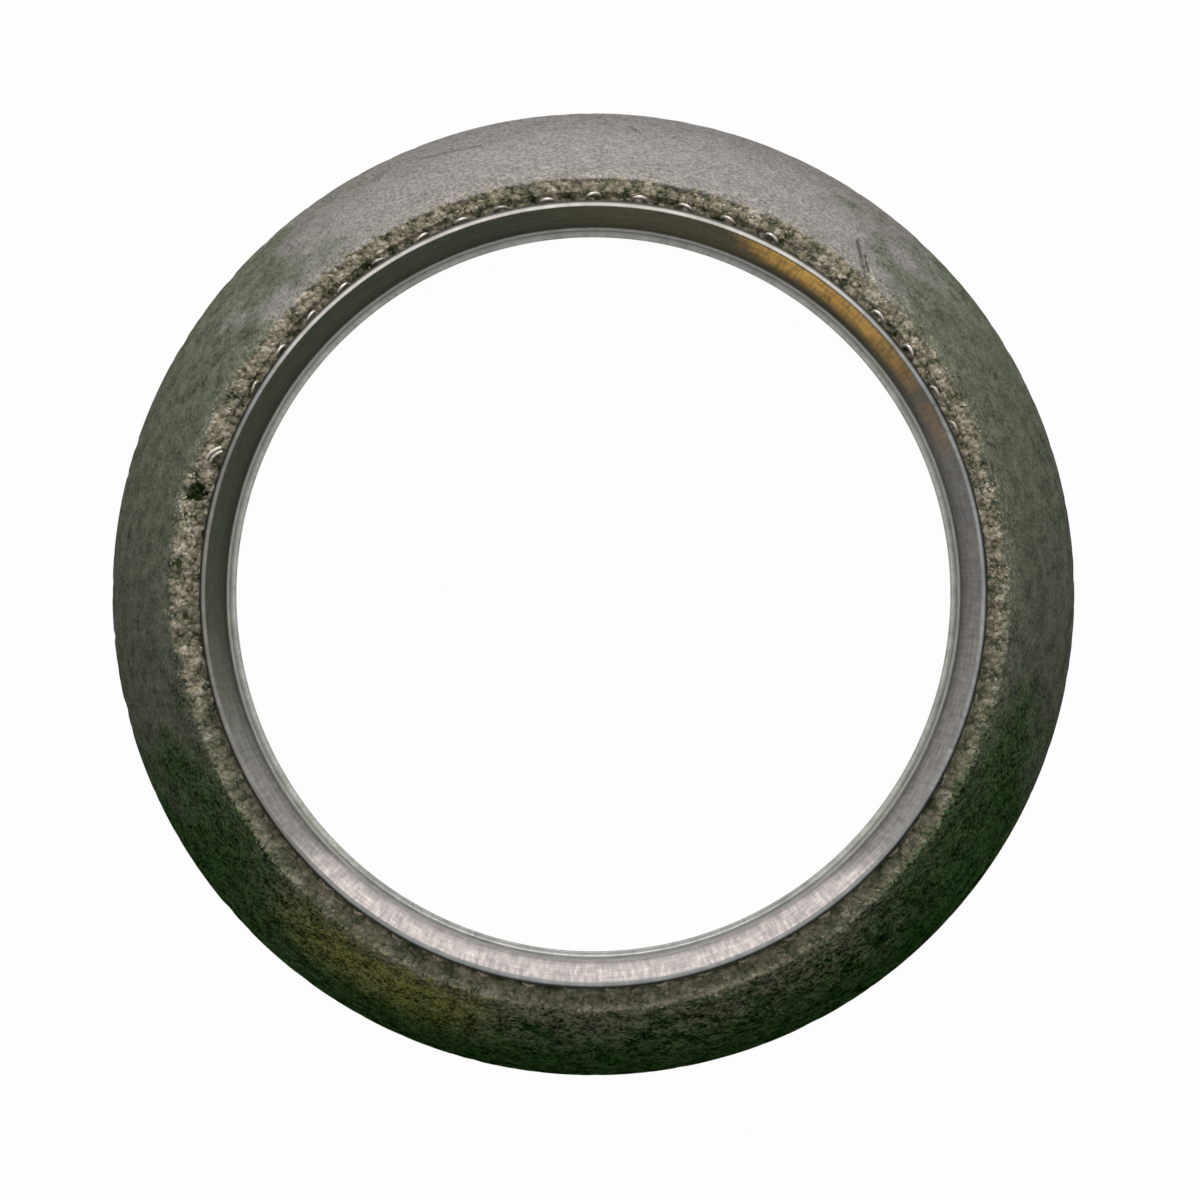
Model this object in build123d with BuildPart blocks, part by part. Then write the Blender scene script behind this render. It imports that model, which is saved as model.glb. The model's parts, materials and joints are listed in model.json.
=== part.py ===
from build123d import *
import os
from math import cos, pi, radians, sin, sqrt, tan

# Exhaust pipe flange gasket: a ring of knitted wire and graphite, pressed onto a thin steel sleeve.
# The flat back face lies on Z = 0, the ring's axis is Z, and the ball face narrows towards +Z.
# Sizes are in millimetres and angles in degrees, counted from +X towards +Y.

# Steel sleeve that lines the bore
bore_radius = 25.0
sleeve_wall = 0.4
sleeve_height = 15.0

# Turned-in lip at the sleeve's back end
lip_bend_radius = 0.3
lip_flat = 0.1

# Pressed ring around the sleeve
ring_wall = 7.35
ring_land_height = 3.1
ring_back_chamfer = 0.6
rim_width = 1.5
rim_below_sleeve_edge = 0.5

# Knitted wire, whose end loops stand in an open gap between the sleeve and the rim
wire_size = 0.24
wire_clearance = 0.04
gap_depth = 0.35
loop_count = 55
loop_width = 1.1
loop_leg = 0.2
loop_lean = 24.0
loop_start_angle = 89.9

# Cut wire ends that lie on the rim in place of one loop
cut_loop_number = 11
strand_count = 2
strand_bend_radius = 1.3
strand_sweep = 62.0
strand_from_cut_loop = -2.45
strand_from_gap = 0.32
strand_turn = -31.0

# Stretch where the inner edge of the ball face has broken away
worn_start_angle = 163.0
worn_sweep = 25.0
worn_inward = 0.7
worn_drop = 0.7

# Chip broken out of the worn stretch
chip_from_worn_start = 2.5
chip_length = 1.5
chip_width = 2.0
chip_depth = 0.9
chip_taper = 20.0

# Small round stretches are drawn as a few flats.
bend_flat_count = 2
loop_head_flat_count = 4
strand_flat_count = 3
wire_side_count = 6

# Heights and radii that follow from the sizes above
sleeve_outer_radius = bore_radius + sleeve_wall
bend_end_radius = bore_radius - lip_bend_radius
bend_outer_radius = lip_bend_radius + sleeve_wall
lip_radius = bend_end_radius - lip_flat
ring_outer_radius = sleeve_outer_radius + ring_wall
rim_height = sleeve_height - rim_below_sleeve_edge
rim_outer_radius = sleeve_outer_radius + rim_width

# The gap is just wide enough for the leaning legs of the wire loops.
wire_corner_reach = wire_size / 2 / cos(pi / wire_side_count)
leg_reach = wire_corner_reach / cos(radians(loop_lean))
gap_width = 2 * wire_clearance + 2 * leg_reach + gap_depth * tan(radians(loop_lean))
gap_outer_radius = sleeve_outer_radius + gap_width
gap_floor_height = rim_height - gap_depth
loop_foot_radius = sleeve_outer_radius + wire_clearance + leg_reach
loop_pitch = 360 / loop_count
cut_loop_angle = loop_start_angle + cut_loop_number * loop_pitch

# The ball face is part of a sphere centred on the ring's axis, through its two bounding circles.
ball_centre_height = (
    rim_height**2 - ring_land_height**2 + rim_outer_radius**2 - ring_outer_radius**2
) / (2 * (rim_height - ring_land_height))
ball_radius = sqrt(ring_outer_radius**2 + (ring_land_height - ball_centre_height) ** 2)


def ball_face_radius(height):
    """Distance of the ball face from the ring's axis at a height."""
    return sqrt(ball_radius**2 - (height - ball_centre_height) ** 2)


def arc_points(centre, radius, start, sweep, flats):
    """Points along an arc in a plane, which cut it into flats of equal length."""
    steps = [radians(start + sweep * step / flats) for step in range(flats + 1)]
    return [(centre[0] + radius * cos(step), centre[1] + radius * sin(step)) for step in steps]


def level_plane(angle, radius, turn=0.0):
    """Level plane on the rim, with X turned by some degrees from the outward direction."""
    origin = (radius * cos(radians(angle)), radius * sin(radians(angle)), rim_height)
    heading = (cos(radians(angle + turn)), sin(radians(angle + turn)), 0)
    return Plane(origin=origin, x_dir=heading, z_dir=(0, 0, 1))


def wire_section():
    """Section of the wire, with one of its sides facing down."""
    turn = 180 / wire_side_count - 90
    return RegularPolygon(wire_size / 2, wire_side_count, major_radius=False, rotation=turn)


os.makedirs("parts", exist_ok=True)

# Sleeve: a straight tube with its back end bent inwards as a small lip
with BuildPart() as steel_sleeve:
    with BuildSketch(Plane.XZ):
        bend_centre = (bend_end_radius, bend_outer_radius)
        Polygon(
            (bore_radius, sleeve_height),
            *arc_points(bend_centre, lip_bend_radius, 0, -90, bend_flat_count),
            (lip_radius, sleeve_wall),
            (lip_radius, 0),
            *arc_points(bend_centre, bend_outer_radius, -90, 90, bend_flat_count),
            (sleeve_outer_radius, sleeve_height),
            align=None,
        )
    revolve(axis=Axis.Z)
steel_sleeve.part.label = "steel_sleeve"

# Pressed ring: flat back, short land, ball face, narrow rim and the gap beside the sleeve
with BuildPart() as pressed_ring:
    with BuildSketch(Plane.XZ):
        with BuildLine():
            middle_height = (ring_land_height + rim_height) / 2
            ThreePointArc(
                (ring_outer_radius, ring_land_height),
                (ball_face_radius(middle_height), middle_height),
                (rim_outer_radius, rim_height),
            )
            Polyline(
                (rim_outer_radius, rim_height),
                (gap_outer_radius, rim_height),
                (gap_outer_radius, gap_floor_height),
                (sleeve_outer_radius, gap_floor_height),
                (sleeve_outer_radius, 0),
                (ring_outer_radius, 0),
                (ring_outer_radius, ring_land_height),
            )
        make_face()
        chamfer(vertices().group_by(Axis.X)[-1].sort_by(Axis.Y)[0], ring_back_chamfer)
    revolve(axis=Axis.Z)

    # Worn stretch: a slanting break along the inner edge of the ball face
    worn_height = rim_height - worn_drop
    with BuildSketch(Plane.XZ.rotated((0, 0, worn_start_angle))):
        Polygon(
            (rim_outer_radius - worn_inward, rim_height),
            (ball_face_radius(worn_height), worn_height),
            (ball_face_radius(worn_height), rim_height),
            align=None,
        )
    revolve(axis=Axis.Z, revolution_arc=worn_sweep, mode=Mode.SUBTRACT)

    # Chip: an uneven pit that narrows downwards
    with BuildSketch(level_plane(worn_start_angle + chip_from_worn_start, gap_outer_radius)):
        Polygon(
            (-0.1 * chip_length, -0.3 * chip_width),
            (0.5 * chip_length, -0.5 * chip_width),
            (0.9 * chip_length, -0.3 * chip_width),
            (chip_length, 0.15 * chip_width),
            (0.6 * chip_length, 0.5 * chip_width),
            (-0.1 * chip_length, 0.3 * chip_width),
            align=None,
        )
    extrude(amount=-chip_depth, taper=chip_taper, mode=Mode.SUBTRACT)
pressed_ring.part.label = "pressed_ring"

# One end loop of the knit: two legs and a rounded head, which lean outwards from the gap's floor
with BuildPart() as wire_loop:
    lean = radians(loop_lean)
    loop_plane = Plane(
        origin=(loop_foot_radius, 0, gap_floor_height),
        x_dir=(0, 1, 0),
        z_dir=(cos(lean), 0, -sin(lean)),
    )
    head_radius = (loop_width - wire_size) / 2
    with BuildLine(loop_plane) as loop_path:
        Polyline(
            (head_radius, -loop_leg),
            *arc_points((0, loop_leg), head_radius, 0, 180, loop_head_flat_count),
            (-head_radius, -loop_leg),
        )
    with BuildSketch(Plane(origin=loop_path.line @ 0, x_dir=(0, 1, 0), z_dir=loop_path.line % 0)):
        wire_section()
    sweep(path=loop_path.line, transition=Transition.RIGHT)
    split(bisect_by=Plane.XY.offset(gap_floor_height), keep=Keep.TOP)

# Wire loops: the knit's whole end row but one loop, and two cut ends that lie on the rim instead
with BuildPart() as wire_loops:
    with PolarLocations(
        0, loop_count - 1, cut_loop_angle + loop_pitch, angular_range=360 - loop_pitch
    ):
        add(wire_loop.part)
    strand_plane = level_plane(
        cut_loop_angle + strand_from_cut_loop, gap_outer_radius + strand_from_gap, strand_turn
    ).offset(wire_size / 2)
    for strand in range(strand_count):
        bend_radius = strand_bend_radius - strand * (2 * wire_corner_reach + wire_clearance)
        with BuildLine(strand_plane) as strand_path:
            Polyline(
                arc_points(
                    (-strand_bend_radius, 0),
                    bend_radius,
                    -strand_sweep / 2,
                    strand_sweep,
                    strand_flat_count,
                )
            )
        strand_heading = strand_path.line % 0
        strand_side = Vector(0, 0, 1).cross(strand_heading)
        with BuildSketch(Plane(strand_path.line @ 0, x_dir=strand_side, z_dir=strand_heading)):
            wire_section()
        sweep(path=strand_path.line, transition=Transition.RIGHT)
wire_loops.part.label = "wire_loops"

export_step(steel_sleeve.part, "parts/steel_sleeve.step")
export_step(pressed_ring.part, "parts/pressed_ring.step")
export_step(wire_loops.part, "parts/wire_loops.step")
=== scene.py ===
import functools
import json
import math
import random

import bmesh
import bpy
from mathutils import Matrix, Vector, noise


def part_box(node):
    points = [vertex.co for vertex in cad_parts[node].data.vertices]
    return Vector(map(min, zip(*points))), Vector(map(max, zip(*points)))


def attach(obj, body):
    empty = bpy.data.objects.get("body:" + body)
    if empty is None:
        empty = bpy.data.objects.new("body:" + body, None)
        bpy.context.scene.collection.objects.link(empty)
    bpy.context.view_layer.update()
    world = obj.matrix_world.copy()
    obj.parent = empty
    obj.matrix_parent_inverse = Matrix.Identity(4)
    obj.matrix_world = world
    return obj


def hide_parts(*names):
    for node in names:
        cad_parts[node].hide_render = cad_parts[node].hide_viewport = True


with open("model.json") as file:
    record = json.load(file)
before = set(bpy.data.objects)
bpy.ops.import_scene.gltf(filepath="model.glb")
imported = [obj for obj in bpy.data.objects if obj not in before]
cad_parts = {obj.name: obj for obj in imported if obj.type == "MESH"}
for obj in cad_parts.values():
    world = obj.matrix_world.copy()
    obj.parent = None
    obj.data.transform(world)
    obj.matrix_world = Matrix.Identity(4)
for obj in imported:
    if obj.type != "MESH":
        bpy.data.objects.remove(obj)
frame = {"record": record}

bl_info = {
    "name": "Exhaust flange gasket",
    "version": (1, 0, 0),
    "blender": (4, 5, 0),
    "location": "3D View > Sidebar > Gasket",
    "description": "Detailed pieces, finishes and a small stage for an exhaust pipe flange gasket",
    "category": "Object",
}

# The object's frame: metres, ring axis on Z, flat back on Z = 0. Angles are degrees from +X towards +Y.
MM = 0.001
MOUNT_SIZES = {mount["name"]: mount["dims"] for mount in frame["record"]["mounts"]}
SLEEVE_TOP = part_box("steel_sleeve")[1].z
SLEEVE_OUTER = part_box("steel_sleeve")[1].x
RING_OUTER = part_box("pressed_ring")[1].x
RIM_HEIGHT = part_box("pressed_ring")[1].z
BORE_RADIUS = MOUNT_SIZES["sleeve_bore"]["r_mm"] * MM
LIP_RADIUS = MOUNT_SIZES["lip_bore"]["r_mm"] * MM
BALL_RADIUS = MOUNT_SIZES["ball_seat"]["r_mm"] * MM

# Rim of the pressed ring, the gap that holds the wire loops, and the sphere of the ball face
RIM_OUTER = SLEEVE_OUTER + 1.5 * MM
GAP_OUTER = SLEEVE_OUTER + 0.54 * MM
OPEN_GAP_OUTER = SLEEVE_OUTER + 0.34 * MM
GAP_FLOOR = RIM_HEIGHT - 0.35 * MM
BALL_CENTRE = RIM_HEIGHT - math.sqrt(BALL_RADIUS**2 - RIM_OUTER**2)
LAND_HEIGHT = BALL_CENTRE + math.sqrt(BALL_RADIUS**2 - RING_OUTER**2)
RELIEF_OUTER = RIM_OUTER + 0.9 * MM
RING_INNER = SLEEVE_OUTER + 0.01 * MM

# Worn stretch of the rim, and the chip broken out of it
WORN_START = 163.0
WORN_END = 188.0
WORN_INNER = RIM_OUTER - 0.7 * MM
WORN_SLOPE = 0.56
CHIP_TURN = 165.7
CHIP_RADIUS = GAP_OUTER + 0.65 * MM
CHIP_FLOOR = RIM_HEIGHT - 0.9 * MM

# Row of wire loops, and the place of the two cut wire ends that lie on the rim instead of one loop
LOOP_COUNT = 55
LOOP_START = 89.9
LOOP_PITCH = 360.0 / LOOP_COUNT
LOOP_LEAN = 24.0
LOOP_FOOT = SLEEVE_OUTER + 0.19 * MM
CUT_LOOP = 11
CUT_TURN = LOOP_START + CUT_LOOP * LOOP_PITCH - 2.45
CUT_RADIUS = GAP_OUTER + 0.32 * MM
CUT_SKEW = -31.0
CUT_SPACING = 0.29 * MM


def smoothstep(low, high, value):
    """0 below low, 1 above high and an even slope between; low may be the larger one."""
    share = min(1.0, max(0.0, (value - low) / (high - low)))
    return share * share * (3.0 - 2.0 * share)


def arc(centre, radius, start, end, steps):
    """Points (radius, height) on an arc of the profile, from one angle to another, in degrees."""
    turns = [math.radians(start + (end - start) * step / steps) for step in range(steps + 1)]
    return [(centre[0] + radius * math.cos(t), centre[1] + radius * math.sin(t)) for t in turns]


def steps_between(first, last, steps):
    """Even steps on a straight line between two points, without the last one."""
    return [
        tuple(a + (b - a) * step / steps for a, b in zip(first, last))
        for step in range(steps)
    ]


def polar(turn, radius, height=0.0):
    """Place at an angle, a distance from the ring's axis and a height."""
    angle = math.radians(turn)
    return Vector((radius * math.cos(angle), radius * math.sin(angle), height))


def turn_of(place):
    """Angle of a place about the ring's axis, from 0 to 360 degrees."""
    return math.degrees(math.atan2(place.y, place.x)) % 360.0


def ball_height(radius):
    """Height of the ball face at a distance from the axis."""
    return BALL_CENTRE + math.sqrt(BALL_RADIUS**2 - radius**2)


# Relief of the crumbly rim


def grain(place, size):
    """Dome height from 0 to 1, and a tone from 0 to 1, of the grain that a place lies on."""
    distances, centres = noise.voronoi(place / size)
    crack = min(1.0, (distances[1] - distances[0]) / 0.22)
    dome = max(0.0, 1.0 - (distances[0] / 0.85) ** 2)
    tone = 0.5 + 0.75 * noise.noise(centres[0] * 3.7)
    return crack * dome, min(1.0, max(0.0, tone))


def uneven(place, size):
    """Smooth random value between -1 and 1, which changes over a size."""
    return noise.noise(place / size)


def window(turn, start, end, run_out):
    """1 between two angles and 0 beyond them, with soft ends."""
    return smoothstep(start - run_out, start, turn) * smoothstep(end + run_out, end, turn)


def worn_share(turn):
    """1 inside the worn stretch, 0 outside it, with short run-outs."""
    return window(turn, WORN_START + 1.0, WORN_END - 1.0, 2.0)


def bare_share(turn):
    """1 where the wire loops stand clear, 0 where crumbs cover them."""
    half_bare = 0.5 * window(turn, 22.5, 45.5, 1.5)
    return max(window(turn, 61.5, 151.5, 1.5), window(turn, 35.0, 45.5, 1.5), half_bare)


def open_share(turn):
    """1 where a narrow dark gap is left beside the sleeve, 0 where crumbs fill it."""
    return window(turn, 226.0, 330.0, 5.0)


def crumb_border(turn):
    """Distance from the axis where the crumbly rim gives way to the smooth ball face."""
    along = polar(turn, RIM_OUTER)
    ragged = 0.26 * uneven(along, 1.3 * MM) + 0.3 * uneven(along, 0.35 * MM)
    right_side = window((turn + 90.0) % 360.0, 48.0, 105.0, 15.0)
    top = window(turn, 76.0, 104.0, 15.0)
    lower_left = window(turn, 203.0, 219.0, 12.0)
    reach = 0.05 + ragged + 0.45 * worn_share(turn) - 0.35 * right_side - 0.12 * top - 0.15 * lower_left
    return RIM_OUTER + reach * MM


def rim_base(turn, radius):
    """Height of the unbroken surface: gap floor with the crumbs that fill it, rim, ball face."""
    if radius > RIM_OUTER:
        return ball_height(radius)
    step = smoothstep(GAP_OUTER - 0.05 * MM, GAP_OUTER + 0.06 * MM, radius)
    beside_sleeve = smoothstep(OPEN_GAP_OUTER, OPEN_GAP_OUTER - 0.12 * MM, radius)
    fill = (1.0 - 0.4 * bare_share(turn)) * (1.0 - open_share(turn) * beside_sleeve)
    fill *= 0.8 + 0.5 * uneven(polar(turn, radius), 0.6 * MM)
    return GAP_FLOOR + (RIM_HEIGHT - GAP_FLOOR) * max(step, min(1.0, fill))


def rim_surface(turn, radius):
    """Height of the rim's broken surface, with how crumbly it is, the painted shade of its cracks, gap and
    chip, and its grain's tone.
    """
    place = polar(turn, radius)
    height = rim_base(turn, radius)
    worn = worn_share(turn)
    if worn > 0.0 and radius > WORN_INNER:
        cut = RIM_HEIGHT - WORN_SLOPE * (radius - WORN_INNER)
        height += worn * min(0.0, cut - height)
    across = (turn - CHIP_TURN) * math.radians(1.0) * radius
    reach = math.hypot(across / (0.55 * MM), (radius - CHIP_RADIUS) / (0.75 * MM))
    reach += 0.6 * uneven(place, 0.4 * MM)
    chip = smoothstep(1.1, 0.75, reach)
    height += chip * min(0.0, CHIP_FLOOR - height)
    border = crumb_border(turn)
    loose = smoothstep(border + 0.1 * MM, border - 0.1 * MM, radius)
    coarse, tone = grain(place, 0.46 * MM)
    fine, fine_tone = grain(place + Vector((0, 0, 5 * MM)), 0.22 * MM)
    swell = 0.5 + 0.5 * uneven(place, 0.9 * MM)
    depth = 0.085 * (1.0 - coarse) + 0.03 * (1.0 - fine) + 0.1 * swell
    hollow = smoothstep(RIM_HEIGHT - 0.12 * MM, GAP_FLOOR, height) if radius < GAP_OUTER else 0.0
    height -= MM * loose * depth * (1.0 - 0.5 * hollow)
    # Painted shade: darker in the cracks between grains, in broad dips, in the hollow of the gap and in the
    # chip.
    shade = 0.6 * (1.0 - coarse) ** 2 + 0.2 * (1.0 - fine) + 0.4 * swell - 0.22
    return height, loose, min(1.0, max(0.0, shade) + 0.7 * hollow + chip), 0.7 * tone + 0.3 * fine_tone


# Mesh helpers


def spin_profile(bm, profile, steps):
    """Spins a closed profile of (radius, height) points through a narrow sector, doubled to a full turn."""
    doublings = 6
    sector = math.tau / 2**doublings
    corners = [bm.verts.new((radius, 0.0, height)) for radius, height in profile]
    edges = [bm.edges.new(pair) for pair in zip(corners, corners[1:] + corners[:1])]
    bmesh.ops.spin(
        bm,
        geom=corners + edges,
        cent=(0, 0, 0),
        axis=(0, 0, 1),
        angle=sector,
        steps=steps // 2**doublings,
    )
    for doubling in range(doublings):
        copied = bmesh.ops.duplicate(bm, geom=bm.verts[:] + bm.edges[:] + bm.faces[:])["geom"]
        moved = [item for item in copied if isinstance(item, bmesh.types.BMVert)]
        turn = Matrix.Rotation(sector * 2**doubling, 3, "Z")
        bmesh.ops.rotate(bm, verts=moved, cent=(0, 0, 0), matrix=turn)
    bmesh.ops.remove_doubles(bm, verts=bm.verts, dist=0.001 * MM)
    bmesh.ops.recalc_face_normals(bm, faces=bm.faces)


def new_piece(name, bm, material, slot, *nodes, smooth=True):
    """Makes the bmesh an object that rides on the part and stands for the named nodes."""
    for face in bm.faces:
        face.smooth = smooth
    mesh = bpy.data.meshes.new(name)
    bm.to_mesh(mesh)
    bm.free()
    mesh.materials.append(material)
    piece = bpy.data.objects.new(name, mesh)
    bpy.context.scene.collection.objects.link(piece)
    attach(piece, "root")
    if nodes:
        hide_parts(*nodes)
    return piece


# Building shader nodes


class Signal:
    """What a shader node puts out, ready for plain arithmetic with other signals and numbers."""

    def __init__(self, nodes, output):
        self.nodes = nodes
        self.output = output

    def __add__(self, other):
        return self.nodes.maths("ADD", self, other)

    def __sub__(self, other):
        return self.nodes.maths("SUBTRACT", self, other)

    def __rsub__(self, other):
        return self.nodes.maths("SUBTRACT", other, self)

    def __mul__(self, other):
        return self.nodes.maths("MULTIPLY", self, other)

    def __rtruediv__(self, other):
        return self.nodes.maths("DIVIDE", other, self)

    def most(self, other):
        """The larger of this and another."""
        return self.nodes.maths("MAXIMUM", self, other)

    def rise(self, low, high, start=0.0, end=1.0):
        """Smooth step from start at low to end at high; low may be the larger one."""
        limits = {"Value": self, "From Min": low, "From Max": high, "To Min": start, "To Max": end}
        return self.nodes.signal("Result", "MapRange", limits, interpolation_type="SMOOTHSTEP")


class Nodes:
    """Adds nodes to a tree whose patterns follow the place on the object."""

    def __init__(self, tree, position=None):
        self.tree = tree
        self.position = position

    def feed(self, socket, value):
        """Links a signal to a socket, or sets a plain value there."""
        if isinstance(value, Signal):
            self.tree.links.new(value.output, socket)
        else:
            socket.default_value = value

    def node(self, kind, inputs=None, **settings):
        """Adds a shader node, sets its settings and feeds its inputs."""
        made = self.tree.nodes.new("ShaderNode" + kind)
        for name, value in settings.items():
            setattr(made, name, value)
        for key, value in (inputs or {}).items():
            self.feed(made.inputs[key], value)
        return made

    def signal(self, output, kind, inputs=None, **settings):
        """Adds a shader node and returns one of its outputs."""
        return Signal(self, self.node(kind, inputs, **settings).outputs[output])

    def maths(self, operation, *terms):
        """Output of a Math node."""
        return self.signal(0, "Math", dict(enumerate(terms)), operation=operation)

    def vector(self, operation, first, second=(0, 0, 0), output="Vector"):
        """Output of a Vector Math node."""
        return self.signal(output, "VectorMath", {0: first, 1: second}, operation=operation)

    def mix(self, share, first, second, blend="MIX"):
        """Colour mixed from two by a share."""
        return self.signal(2, "Mix", {0: share, 6: first, 7: second}, data_type="RGBA", blend_type=blend)

    def shaded(self, colour, shade):
        """Colour times a value."""
        return self.mix(1.0, colour, shade, "MULTIPLY")

    def attribute(self, name):
        """A value that the mesh carries at its corners."""
        return self.signal("Fac", "Attribute", attribute_name=name)

    def noise(self, scale, detail, roughness):
        """Cloudy noise about 0.5."""
        inputs = {"Vector": self.position, "Scale": scale, "Detail": detail, "Roughness": roughness}
        return self.signal("Fac", "TexNoise", inputs)

    def coordinate(self, axis):
        """One coordinate of the place on the object."""
        return self.signal(axis, "SeparateXYZ", {0: self.position})

    @functools.cached_property
    def height(self):
        """Height above the flat back."""
        return self.coordinate("Z")

    @functools.cached_property
    def angle(self):
        """Angle about the ring's axis, in radians."""
        return self.maths("ARCTAN2", self.coordinate("Y"), self.coordinate("X"))

    @functools.cached_property
    def level(self):
        """Place on the object, dropped to the back's plane."""
        return self.vector("MULTIPLY", self.position, (1, 1, 0))

    @functools.cached_property
    def radius(self):
        """Distance from the ring's axis."""
        return self.vector("LENGTH", self.level, output="Value")

    def place(self, build, **inputs):
        """Places a shared node group and returns its outputs by name."""
        made = self.tree.nodes.new("ShaderNodeGroup")
        made.node_tree = build()
        for label, value in inputs.items():
            self.feed(made.inputs[label], value)
        return {output.name: Signal(self, output) for output in made.outputs}

    def grain(self, size, contrast, position=None):
        """Tone and height of fine grain."""
        return self.place(fine_grain, Position=position or self.position, Size=size, Contrast=contrast)

    def patches(self, size, cover, softness):
        """Mask of uneven patches of a size, over about a share of the surface."""
        inputs = {"Size": size, "Cover": cover, "Softness": softness}
        return self.place(uneven_patches, Position=self.position, **inputs)["Mask"]

    def sector(self, turn, full, fade, waver):
        """Mask of one side of the ring: 1 within some degrees of an angle, 0 beyond some more."""
        reach = {"Full": math.cos(math.radians(full)), "Fade": math.cos(math.radians(fade)), "Waver": waver}
        heading = tuple(polar(turn, 1.0))
        return self.place(ring_sector, Position=self.position, Direction=heading, **reach)["Mask"]

    def scratch(self, start, end, width):
        """Mask of a straight scratch between two (angle, distance from the axis) places."""
        ends = {"Start": polar(*start), "End": polar(*end), "Width": width}
        return self.place(hairline, Position=self.level, **ends)["Mask"]


class Group(Nodes):
    """A shader node group in the making, which materials share."""

    def __init__(self, name, inputs, outputs):
        super().__init__(bpy.data.node_groups.new(name, "ShaderNodeTree"))
        sockets = self.tree.interface
        for label, default in inputs.items():
            kind = "Float" if isinstance(default, float) else {3: "Vector", 4: "Color"}[len(default)]
            socket = sockets.new_socket(label, in_out="INPUT", socket_type="NodeSocket" + kind)
            socket.default_value = default
        for label, kind in outputs.items():
            sockets.new_socket(label, in_out="OUTPUT", socket_type="NodeSocket" + kind)
        entry = self.tree.nodes.new("NodeGroupInput").outputs
        self.given = {label: Signal(self, entry[label]) for label in inputs}
        self.position = self.given.get("Position")
        self.leave = self.tree.nodes.new("NodeGroupOutput").inputs

    def finished(self, **outputs):
        """Feeds the group's outputs and returns its tree."""
        for label, value in outputs.items():
            self.feed(self.leave[label], value)
        return self.tree


class Coat(Nodes):
    """A material in the making, with its shader."""

    def __init__(self, name):
        self.material = bpy.data.materials.new(name)
        self.material.use_nodes = True
        super().__init__(self.material.node_tree)
        self.position = self.signal("Object", "TexCoord")
        self.shader = next(n for n in self.tree.nodes if n.type == "BSDF_PRINCIPLED")

    def set(self, name, value):
        """Feeds one of the shader's inputs."""
        self.feed(self.shader.inputs[name], value)

    def bump(self, height, distance, strength):
        """Feeds a height to the shader's normal."""
        inputs = {"Height": height, "Distance": distance, "Strength": strength}
        self.set("Normal", self.signal("Normal", "Bump", inputs))


# Node groups shared by the finishes

ORIGIN = (0.0, 0.0, 0.0)
GREY = (0.2, 0.2, 0.2, 1.0)


@functools.cache
def fine_grain():
    """Fine grain: a tone about 0.5 and a height, at a size in metres."""
    inputs = {"Position": ORIGIN, "Size": 0.2 * MM, "Contrast": 1.0}
    group = Group("fine_grain", inputs, {"Tone": "Float", "Height": "Float"})
    grains = group.noise(1.0 / group.given["Size"], 3.0, 0.6)
    return group.finished(Tone=(grains - 0.5) * group.given["Contrast"] + 0.5, Height=grains)


@functools.cache
def uneven_patches():
    """Uneven patches: a mask that covers about the given share of the surface."""
    inputs = {"Position": ORIGIN, "Size": 2.0 * MM, "Cover": 0.5, "Softness": 0.1}
    group = Group("patches", inputs, {"Mask": "Float"})
    clouds = group.noise(1.0 / group.given["Size"], 4.0, 0.62)
    middle = group.given["Cover"] * -0.5 + 0.75
    softness = group.given["Softness"]
    return group.finished(Mask=clouds.rise(middle - softness, middle + softness))


@functools.cache
def ring_sector():
    """A mask for one side of the ring: 1 near a direction, 0 away from it, with a wavering border."""
    inputs = {"Position": ORIGIN, "Direction": (0.0, 1.0, 0.0), "Full": 0.8, "Fade": 0.5, "Waver": 0.1}
    group = Group("ring_sector", inputs, {"Mask": "Float"})
    heading = group.vector("NORMALIZE", group.level)
    facing = group.vector("DOT_PRODUCT", heading, group.given["Direction"], "Value")
    wander = group.noise(1 / (5 * MM), 5.0, 0.5) - 0.5
    wavering = wander * group.given["Waver"] + facing
    return group.finished(Mask=wavering.rise(group.given["Fade"], group.given["Full"]))


@functools.cache
def hairline():
    """A mask along a thin straight scratch between two places."""
    inputs = {"Position": ORIGIN, "Start": ORIGIN, "End": ORIGIN, "Width": 0.1 * MM}
    group = Group("hairline", inputs, {"Mask": "Float"})
    run = group.vector("SUBTRACT", group.given["End"], group.given["Start"])
    along = group.vector("SUBTRACT", group.position, group.given["Start"])
    squares = [group.vector("DOT_PRODUCT", place, run, "Value") for place in (along, run)]
    share = group.signal(0, "Clamp", {"Value": group.maths("DIVIDE", *squares)})
    nearest = group.signal("Vector", "VectorMath", {0: run, "Scale": share}, operation="SCALE")
    gap = group.vector("DISTANCE", along, nearest, "Value")
    return group.finished(Mask=gap.rise(group.given["Width"], 0.0))


@functools.cache
def mica_colour():
    """Colour of the crumbling filler from its tone and painted recess shade: from dark, shaded hollows
    through olive and tan to cream flakes.
    """
    group = Group("mica_colour", {"Tone": 0.5, "Depth": 0.0, "Grain": 0.5}, {"Colour": "Color"})
    lightness = group.given["Grain"] * 0.4 + group.given["Tone"]
    lightness = group.given["Depth"] * -0.5 + lightness
    ramp = group.node("ValToRGB", {"Fac": lightness})
    stops = ramp.color_ramp.elements
    stops[0].position, stops[0].color = 0.0, (0.012, 0.028, 0.004, 1)
    stops[1].position, stops[1].color = 1.0, (0.62, 0.56, 0.47, 1)
    for position, colour in (
        (0.16, (0.05, 0.06, 0.028, 1)),
        (0.34, (0.15, 0.15, 0.1, 1)),
        (0.46, (0.22, 0.185, 0.12, 1)),
        (0.58, (0.26, 0.25, 0.205, 1)),
        (0.7, (0.38, 0.3, 0.17, 1)),
        (0.84, (0.45, 0.41, 0.33, 1)),
    ):
        stops.new(position).color = colour
    return group.finished(Colour=Signal(group, ramp.outputs["Color"]))


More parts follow.
